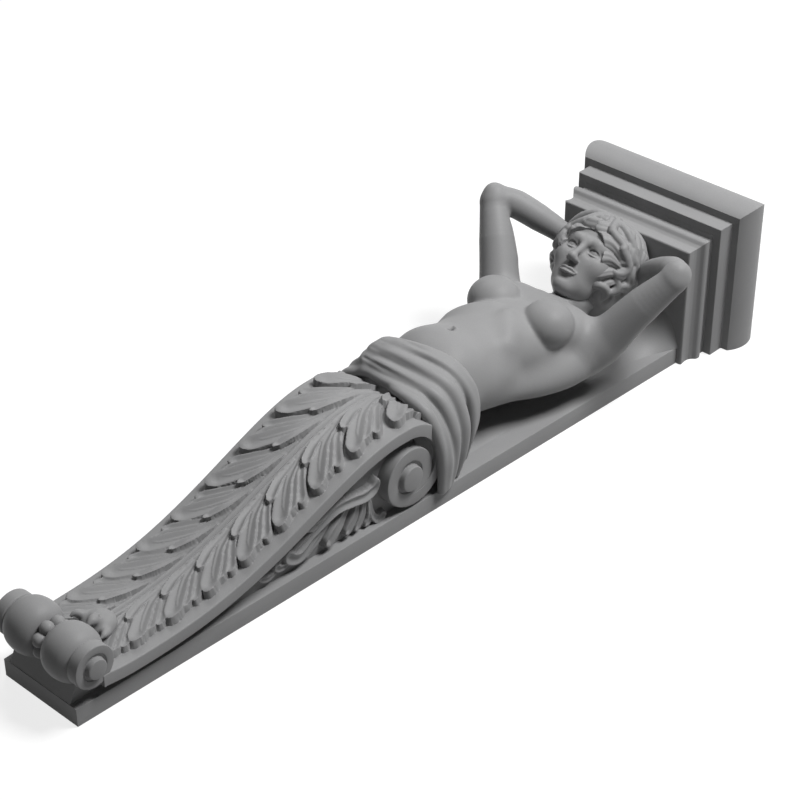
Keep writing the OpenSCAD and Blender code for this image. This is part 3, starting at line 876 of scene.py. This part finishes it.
def makeHair():
    # waved locks from a middle parting, with curls over the ears and down to the nape
    look = hairLook
    clay = newClay(*look["box"], look["grid"])
    cut, x, y, z = window(clay, *look["box"])
    px, py, pz = x / 44, (y - 5) / 49, (z - 9) / 49
    far = np.sqrt(px ** 2 + py ** 2 + pz ** 2)
    aside = np.arcsin(np.clip(np.abs(px) / np.maximum(far, 1e-3), 0, 1))
    about = np.arctan2(pz, -py)
    wave = look["wave"] * np.sin(look["waves"] * aside + 1.7 * np.sin(2.0 * about) + 0.6 * np.sign(px))
    ridge = np.abs(np.sin(0.5 * look["locks"] * about + wave))
    fine = np.abs(np.sin(1.5 * look["locks"] * about + 3.0 * wave + 0.8))
    tuft = 0.8 + 0.2 * np.sin(5.0 * aside + 4.0 * about + np.sign(px))
    lift = look["lift"] * ridge ** 0.8 * tuft + look["fine"] * fine
    merge(clay, cut, ((far - 1) * 46 - lift).astype(np.float32), 0)
    ball(clay, (0, 22, -22), (43, 35, 34), 12)
    ball(clay, (0, -56, -15), (31.5, 46, 42), 1.5, carve=True)
    rng = np.random.default_rng(11)

    def lockOf(line, thick, side, twist, spread=3.0):
        # a lock of a few strands that wind loosely round each other
        run = np.linspace(0, 1, len(line))
        taper = [0.5, 0.9, 1.0, 0.95, 0.8, 0.4]
        for strand in range(look["strands"]):
            turn = twist + 6.283 * strand / look["strands"] + 2.6 * run
            shift = np.stack([np.cos(turn), np.sin(turn), np.cos(turn + 1.2)], 1) * spread
            path = line + shift * np.sin(math.pi * (0.12 + 0.8 * run))[:, None]
            roll(clay, (path * np.array([side, 1, 1])).tolist(), [thick * t for t in taper], 1.0, spans=24)

    for side in (1, -1):
        for row in range(look["rows"]):
            startEl = 66 - 1.5 * row if row < 4 else 82 - 2 * row
            startAz = 4 + 19 * row
            back = row / (look["rows"] - 1)
            phase = rng.uniform(0, 6.28)
            swing = rng.uniform(9, 14)
            line = []
            for t in np.linspace(0, 1, 10):
                az = startAz + lerp(76, 24, back) * ease(t * 1.15) + swing * math.sin(8 * t + phase)
                el = startEl - lerp(108, 100, back) * t + 0.6 * swing * math.cos(8 * t + phase)
                az = min(176, az)
                if el < 22:
                    az = max(az, 52 - 0.2 * el)     # clear of the face
                out = 1.12 + 0.04 * math.sin(3.1 * t) + 0.03 * math.sin(11 * t + phase)
                line.append(capPoint(az, el, out))
            lockOf(np.array(line), look["lockThick"], side, phase)
        for curl in range(look["curls"]):
            az = 58 + 112 * ((curl * 0.618) % 1)
            el = lerp(-50, 26, (curl + 0.5) / look["curls"])
            spin = rng.uniform(0, 6.28)
            wind = rng.choice([-1, 1])
            size = rng.uniform(9, 14)
            line = []
            for t in np.linspace(0, 1, 9):
                a = spin + wind * 4.6 * t
                r = size * (1 - 0.62 * t)
                out = 1.17 + 0.04 * math.sin(math.pi * t)
                line.append(capPoint(az + r * math.cos(a) * 1.3 / max(0.45, math.cos(math.radians(el))),
                                     el + r * math.sin(a) * 1.3, out))
            lockOf(np.array(line), look["curlThick"], side, spin, 1.8)
    pts, quads = skinned(clay)
    return addPiece("hair", bowed(pts), quads)


sprayLook = {
    "high": 13.0,
    "from": (20.0, 272.0),     # distance from the wall, height
    "to": (152.0, 516.0),
    "step": 1.0,
}


def makeSprays():
    # acanthus that climbs each sunk panel, and a tendril along the upper disc
    look = sprayLook
    out = np.arange(look["from"][0], look["to"][0], look["step"])
    up = np.arange(look["from"][1], look["to"][1], look["step"])
    strokes = [
        ([(46, 286), (38, 300), (42, 314), (53, 326), (60, 344)], 5.0, 0.55),
        ([(50, 312), (43, 322), (46, 336), (56, 352)], 5.5, 0.65),
        ([(62, 332), (50, 338), (45, 354), (56, 376), (74, 400)], 9.0, 0.85),
        ([(36, 364), (45, 374), (56, 392), (72, 414)], 5.5, 0.6),
        ([(82, 364), (76, 380), (78, 398), (86, 420)], 7.0, 0.7),
        ([(92, 380), (88, 394), (88, 410), (92, 430)], 6.0, 0.6),
        ([(38, 398), (48, 408), (62, 424), (80, 440)], 9.5, 0.85),
        ([(36, 432), (46, 440), (60, 450), (80, 458)], 7.5, 0.75),
        ([(33, 448), (42, 456), (58, 464), (80, 468)], 6.5, 0.7),
        ([(30, 466), (38, 474), (54, 476), (74, 474)], 6.0, 0.65),
        ([(34, 500), (30, 488), (40, 480), (58, 478)], 6.5, 0.75),
        ([(96, 484), (84, 478), (80, 462), (84, 438), (84, 412), (66, 376), (52, 344)], 8.0, 1.05),
        ([(112, 458), (124, 470), (131, 488), (132, 506)], 6.5, 0.85),
    ]
    height = np.zeros((len(up), len(out)))
    for path, half, rise in strokes:
        lobe(height, up, out, path, half, look["high"] * rise, 0.8, 0.5, 1.6)
    parts = []
    gridOut, gridUp = np.meshgrid(out, up)
    for side in (1, -1):
        x = side * (coreHalf(gridUp) - 1.0 + height)
        pts = np.stack([x, -gridOut, gridUp], -1).reshape(-1, 3)
        quads = ringFaces(len(up), len(out), closed=False)
        # only the carved part of the panel, with a little of its rooted edge
        near = height.reshape(-1)[quads].max(1) > 0.05
        inside = gridOut.reshape(-1)[quads].max(1) < np.array(
            [faceDepth(z) - 8 for z in gridUp.reshape(-1)[quads[:, 0]]])
        quads = quads[near & inside]
        used, quads = np.unique(quads, return_inverse=True)
        quads = quads.reshape(-1, 4)
        parts.append((pts[used], quads if side > 0 else quads[:, ::-1]))
    pts, faces = joined(parts)
    return addPiece("side_sprays", pts, faces)


def makeTips():
    # a bunch of leaf tips curling over behind the pearls
    clay = newClay((-46, -104, 40), (46, -40, 112), 1.2)
    ball(clay, (8, -68, 86), (22, 15, 22))
    roll(clay, [(10, -76, 84), (16, -85, 72), (18, -84, 62)], [9, 6, 1.5], 5)
    roll(clay, [(-4, -70, 84), (-12, -80, 72), (-14, -80, 64)], [8, 5, 1.5], 4)
    roll(clay, [(24, -66, 84), (34, -74, 74), (37, -74, 66)], [7, 4.5, 1.2], 4)
    for lean in (-14, -7, 0, 7, 14):
        vein = [(8 + 0.3 * lean, -76, 106), (8 + 0.8 * lean, -85, 94),
                (9 + 1.2 * lean, -86 + 0.2 * abs(lean), 78)]
        roll(clay, vein, [1.2, 2.4, 1.4], 1.6, carve=True, spans=24)
    pts, quads = skinned(clay)
    return addPiece("leaf_tips", pts, quads)


plate = makePlate()
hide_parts("corbel")
makeField()
makeCapital()
makeBand()
makeCore()
makeSprays()
makeVolutes()
makeBolster()
makeTips()
makeFigure()
makeCloth()
makeHead()
makeHair()

# Floor, light and camera.
studio = {
    "cameraAt": (1.57348, -1.67128, -1.68035),
    "cameraAhead": (-0.56635, 0.55872, 0.60587),
    "cameraUp": (-0.38027, -0.82936, 0.40934),
    "lens": 96.54,
    "sensor": 36.0,
    "keyFrom": (1.2, -3.0, 1.1),
    "keyWatts": 120.0,
    "keySize": 1.1,
    "sideFrom": (-1.8, -3.0, 1.3),
    "sideWatts": 26.0,
    "sideSize": 1.2,
    "skyLevel": 0.035,
    "floorHalf": 6.0,
    "floorY": 0.0006,       # just behind the wall face
    "floorColour": (0.3, 0.3, 0.3, 1),
    "floorGlow": 0.8,
}


def whiteRays(nodes, links):
    # 1 for the rays that show the background: seen, mirrored or through glass
    path = nodes.new("ShaderNodeLightPath")
    seen = path.outputs["Is Camera Ray"]
    for ray in ("Is Glossy Ray", "Is Transmission Ray"):
        either = nodes.new("ShaderNodeMath")
        either.operation = "MAXIMUM"
        links.new(seen, either.inputs[0])
        links.new(path.outputs[ray], either.inputs[1])
        seen = either.outputs["Value"]
    return seen


def makeFloor():
    mesh = bpy.data.meshes.new("floor")
    h, y = studio["floorHalf"], studio["floorY"]
    mesh.from_pydata([(-h, y, -h), (h, y, -h), (h, y, h), (-h, y, h)], [], [(0, 1, 2, 3)])
    floor = bpy.data.objects.new("floor", mesh)
    bpy.context.scene.collection.objects.link(floor)
    mat = bpy.data.materials.new("paleFloor")
    mat.use_nodes = True
    nodes, links = mat.node_tree.nodes, mat.node_tree.links
    shader = nodes["Principled BSDF"]
    shader.inputs["Base Color"].default_value = studio["floorColour"]
    shader.inputs["Roughness"].default_value = 0.9
    shader.inputs["Specular IOR Level"].default_value = 0.0
    # seen directly the floor is white, and it still darkens where the block shades it
    glow = nodes.new("ShaderNodeMath")
    glow.operation = "MULTIPLY"
    glow.inputs[1].default_value = studio["floorGlow"]
    links.new(whiteRays(nodes, links), glow.inputs[0])
    shader.inputs["Emission Color"].default_value = (1, 1, 1, 1)
    links.new(glow.outputs["Value"], shader.inputs["Emission Strength"])
    clear = nodes.new("ShaderNodeBsdfTransparent")
    back = nodes.new("ShaderNodeNewGeometry")
    sided = nodes.new("ShaderNodeMixShader")
    links.new(back.outputs["Backfacing"], sided.inputs["Fac"])
    links.new(shader.outputs["BSDF"], sided.inputs[1])
    links.new(clear.outputs["BSDF"], sided.inputs[2])
    links.new(sided.outputs["Shader"], nodes["Material Output"].inputs["Surface"])
    mesh.materials.append(mat)
    print("floor laid")


def addLamp(name, at, watts, size):
    lamp = bpy.data.lights.new(name, "AREA")
    lamp.energy = watts
    lamp.size = size
    thing = bpy.data.objects.new(name, lamp)
    thing.location = at
    thing.rotation_euler = (-Vector(at)).to_track_quat("-Z", "Y").to_euler()
    bpy.context.scene.collection.objects.link(thing)
    print("lamp", name)


def makeWorld():
    world = bpy.data.worlds.new("studio")
    bpy.context.scene.world = world
    world.use_nodes = True
    nodes, links = world.node_tree.nodes, world.node_tree.links
    sky = nodes["Background"]
    sky.inputs["Color"].default_value = (1, 1, 1, 1)
    level = nodes.new("ShaderNodeMapRange")
    level.inputs["To Min"].default_value = studio["skyLevel"]
    level.inputs["To Max"].default_value = 1.0
    links.new(whiteRays(nodes, links), level.inputs["Value"])
    links.new(level.outputs["Result"], sky.inputs["Strength"])


def makeCamera():
    data = bpy.data.cameras.new("camera")
    data.lens = studio["lens"]
    data.sensor_width = studio["sensor"]
    camera = bpy.data.objects.new("camera", data)
    ahead = Vector(studio["cameraAhead"]).normalized()
    right = ahead.cross(Vector(studio["cameraUp"])).normalized()
    up = right.cross(ahead)
    turn = Matrix((right, up, -ahead)).transposed().to_4x4()
    camera.matrix_world = Matrix.Translation(studio["cameraAt"]) @ turn
    bpy.context.scene.collection.objects.link(camera)
    bpy.context.scene.camera = camera
    print("camera set")


makeFloor()
makeWorld()
addLamp("key", studio["keyFrom"], studio["keyWatts"], studio["keySize"])
addLamp("side", studio["sideFrom"], studio["sideWatts"], studio["sideSize"])
makeCamera()
bpy.context.scene.view_settings.view_transform = "Standard"
